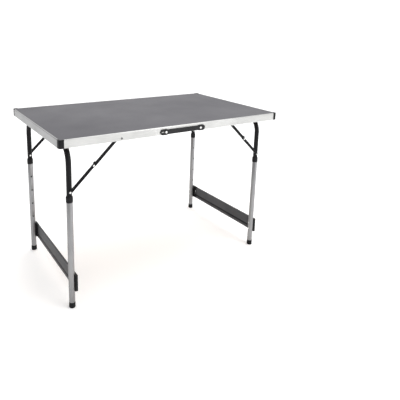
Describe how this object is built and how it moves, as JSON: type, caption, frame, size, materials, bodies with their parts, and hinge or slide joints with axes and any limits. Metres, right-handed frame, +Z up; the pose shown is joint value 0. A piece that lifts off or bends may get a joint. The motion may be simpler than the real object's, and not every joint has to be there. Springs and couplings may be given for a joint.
{
  "type": "folding work table",
  "caption": "Folding work table: laminated top in an aluminium edge frame, two fold-flat U leg frames with braces, spring-button height adjustment and a strap handle.",
  "frame": {"origin": "on the floor under the middle of the top", "axes": "+Z up; +X along the long sides, from the left to the right leg frame seen from the handle side; -Y towards the long side with the handle"},
  "size_m": [1.1108, 0.6732, 0.7304],
  "materials": {
    "grey_laminate": "fine matt laminate",
    "fibreboard": "raw fibreboard",
    "edge_aluminium": "satin anodised",
    "tube_aluminium": "satin anodised",
    "grey_bar": "satin grey",
    "black_steel": "black powder coat",
    "black_plastic": "moulded, fine grain",
    "foot_plastic": "moulded",
    "strap_plastic": "moulded, leather grain",
    "zinc_steel": "zinc plated",
    "dark_steel": "blackened"
  },
  "bodies": {
    "top": {"board": "fibreboard", "laminate": "grey_laminate", "edge_front": "edge_aluminium", "edge_back": "edge_aluminium", "edge_left": "edge_aluminium", "edge_right": "edge_aluminium", "corner_front_left": "black_plastic", "corner_front_right": "black_plastic", "corner_back_left": "black_plastic", "corner_back_right": "black_plastic", "hinge_clips": "black_plastic", "clip_screws": "zinc_steel", "brace_spacers": "black_plastic", "edge_rivets": "dark_steel", "brace_brackets": "black_steel", "bracket_rivets": "zinc_steel", "handle_rivets": "zinc_steel", "strap_anchor": "strap_plastic"},
    "left_upper_leg": {"left_upper_frame": "black_steel", "left_brace_pins": "zinc_steel"},
    "left_lower_leg": {"left_front_lower_tube": "tube_aluminium", "left_back_lower_tube": "tube_aluminium", "left_collars": "black_plastic", "left_feet": "foot_plastic", "left_crossbar": "grey_bar", "left_crossbar_caps": "black_plastic", "left_crossbar_rivets": "zinc_steel"},
    "button_left_front": {"button_left_front": "dark_steel"},
    "upper_link_left_front": {"upper_link_left_front": "black_steel", "knee_rivet_left_front": "zinc_steel"},
    "lower_link_left_front": {"lower_link_left_front": "black_steel"},
    "button_left_back": {"button_left_back": "dark_steel"},
    "upper_link_left_back": {"upper_link_left_back": "black_steel", "knee_rivet_left_back": "zinc_steel"},
    "lower_link_left_back": {"lower_link_left_back": "black_steel"},
    "right_upper_leg": {"right_upper_frame": "black_steel", "right_brace_pins": "zinc_steel"},
    "right_lower_leg": {"right_front_lower_tube": "tube_aluminium", "right_back_lower_tube": "tube_aluminium", "right_collars": "black_plastic", "right_feet": "foot_plastic", "right_crossbar": "grey_bar", "right_crossbar_caps": "black_plastic", "right_crossbar_rivets": "zinc_steel"},
    "button_right_front": {"button_right_front": "dark_steel"},
    "upper_link_right_front": {"upper_link_right_front": "black_steel", "knee_rivet_right_front": "zinc_steel"},
    "lower_link_right_front": {"lower_link_right_front": "black_steel"},
    "button_right_back": {"button_right_back": "dark_steel"},
    "upper_link_right_back": {"upper_link_right_back": "black_steel", "knee_rivet_right_back": "zinc_steel"},
    "lower_link_right_back": {"lower_link_right_back": "black_steel"},
    "strap_right": {"strap_right": "strap_plastic"},
    "strap_left": {"strap_left": "strap_plastic"},
    "strap_slide_end": {"strap_slide_end": "strap_plastic"}
  },
  "joints": [
    {"name": "left_leg_fold", "type": "hinge", "parent": "top", "child": "left_upper_leg", "pos_m": [-0.505, 0, 0.7], "axis": [0, -1, 0], "range_deg": [0, 90]},
    {"name": "left_height", "type": "slide", "parent": "left_upper_leg", "child": "left_lower_leg", "axis": [0, 0, -1], "range_m": [0, 0.21]},
    {"name": "button_left_front_press", "type": "slide", "parent": "left_upper_leg", "child": "button_left_front", "axis": [0, -1, 0], "range_m": [-0.0035, 0], "stiffness_N_per_m": 400, "springref_m": -0.0035},
    {"name": "upper_link_left_front_turn", "type": "hinge", "parent": "top", "child": "upper_link_left_front", "pos_m": [-0.2985, -0.289, 0.706], "axis": [0, -1, 0], "range_deg": [-42.8, 0]},
    {"name": "lower_link_left_front_turn", "type": "hinge", "parent": "left_upper_leg", "child": "lower_link_left_front", "pos_m": [-0.505, -0.289, 0.507], "axis": [0, -1, 0], "range_deg": [0, 44.9]},
    {"name": "button_left_back_press", "type": "slide", "parent": "left_upper_leg", "child": "button_left_back", "axis": [0, 1, 0], "range_m": [-0.0035, 0], "stiffness_N_per_m": 400, "springref_m": -0.0035},
    {"name": "upper_link_left_back_turn", "type": "hinge", "parent": "top", "child": "upper_link_left_back", "pos_m": [-0.307, 0.257, 0.6955], "axis": [0, -1, 0], "range_deg": [-44.6, 0]},
    {"name": "lower_link_left_back_turn", "type": "hinge", "parent": "left_upper_leg", "child": "lower_link_left_back", "pos_m": [-0.505, 0.257, 0.507], "axis": [0, -1, 0], "range_deg": [0, 47.4]},
    {"name": "right_leg_fold", "type": "hinge", "parent": "top", "child": "right_upper_leg", "pos_m": [0.505, 0, 0.7], "axis": [0, 1, 0], "range_deg": [0, 90]},
    {"name": "right_height", "type": "slide", "parent": "right_upper_leg", "child": "right_lower_leg", "axis": [0, 0, -1], "range_m": [0, 0.21]},
    {"name": "button_right_front_press", "type": "slide", "parent": "right_upper_leg", "child": "button_right_front", "axis": [0, -1, 0], "range_m": [-0.0035, 0], "stiffness_N_per_m": 400, "springref_m": -0.0035},
    {"name": "upper_link_right_front_turn", "type": "hinge", "parent": "top", "child": "upper_link_right_front", "pos_m": [0.307, -0.257, 0.6955], "axis": [0, 1, 0], "range_deg": [-44.6, 0]},
    {"name": "lower_link_right_front_turn", "type": "hinge", "parent": "right_upper_leg", "child": "lower_link_right_front", "pos_m": [0.505, -0.257, 0.507], "axis": [0, 1, 0], "range_deg": [0, 47.4]},
    {"name": "button_right_back_press", "type": "slide", "parent": "right_upper_leg", "child": "button_right_back", "axis": [0, 1, 0], "range_m": [-0.0035, 0], "stiffness_N_per_m": 400, "springref_m": -0.0035},
    {"name": "upper_link_right_back_turn", "type": "hinge", "parent": "top", "child": "upper_link_right_back", "pos_m": [0.2985, 0.289, 0.706], "axis": [0, 1, 0], "range_deg": [-42.8, 0]},
    {"name": "lower_link_right_back_turn", "type": "hinge", "parent": "right_upper_leg", "child": "lower_link_right_back", "pos_m": [0.505, 0.289, 0.507], "axis": [0, 1, 0], "range_deg": [0, 44.9]},
    {"name": "handle_lift", "type": "hinge", "parent": "top", "child": "strap_right", "pos_m": [0.076, -0.3354, 0.7085], "axis": [0, 0, 1], "range_deg": [0, 28]},
    {"name": "handle_middle", "type": "hinge", "parent": "strap_right", "child": "strap_left", "pos_m": [-0.004, -0.3354, 0.7085], "axis": [0, 0, 1], "range_deg": [-56, 0]},
    {"name": "handle_slide_end", "type": "hinge", "parent": "strap_left", "child": "strap_slide_end", "pos_m": [-0.084, -0.3354, 0.7085], "axis": [0, 0, 1], "range_deg": [0, 28]}
  ],
  "couplings": [
    {"joint": "upper_link_left_front_turn", "follows": "left_leg_fold", "ratio": -0.47521},
    {"joint": "lower_link_left_front_turn", "follows": "left_leg_fold", "ratio": 0.49812},
    {"joint": "upper_link_left_back_turn", "follows": "left_leg_fold", "ratio": -0.49474},
    {"joint": "lower_link_left_back_turn", "follows": "left_leg_fold", "ratio": 0.52622},
    {"joint": "upper_link_right_front_turn", "follows": "right_leg_fold", "ratio": -0.49474},
    {"joint": "lower_link_right_front_turn", "follows": "right_leg_fold", "ratio": 0.52622},
    {"joint": "upper_link_right_back_turn", "follows": "right_leg_fold", "ratio": -0.47521},
    {"joint": "lower_link_right_back_turn", "follows": "right_leg_fold", "ratio": 0.49812},
    {"joint": "handle_middle", "follows": "handle_lift", "ratio": -2},
    {"joint": "handle_slide_end", "follows": "handle_lift", "ratio": 1}
  ]
}
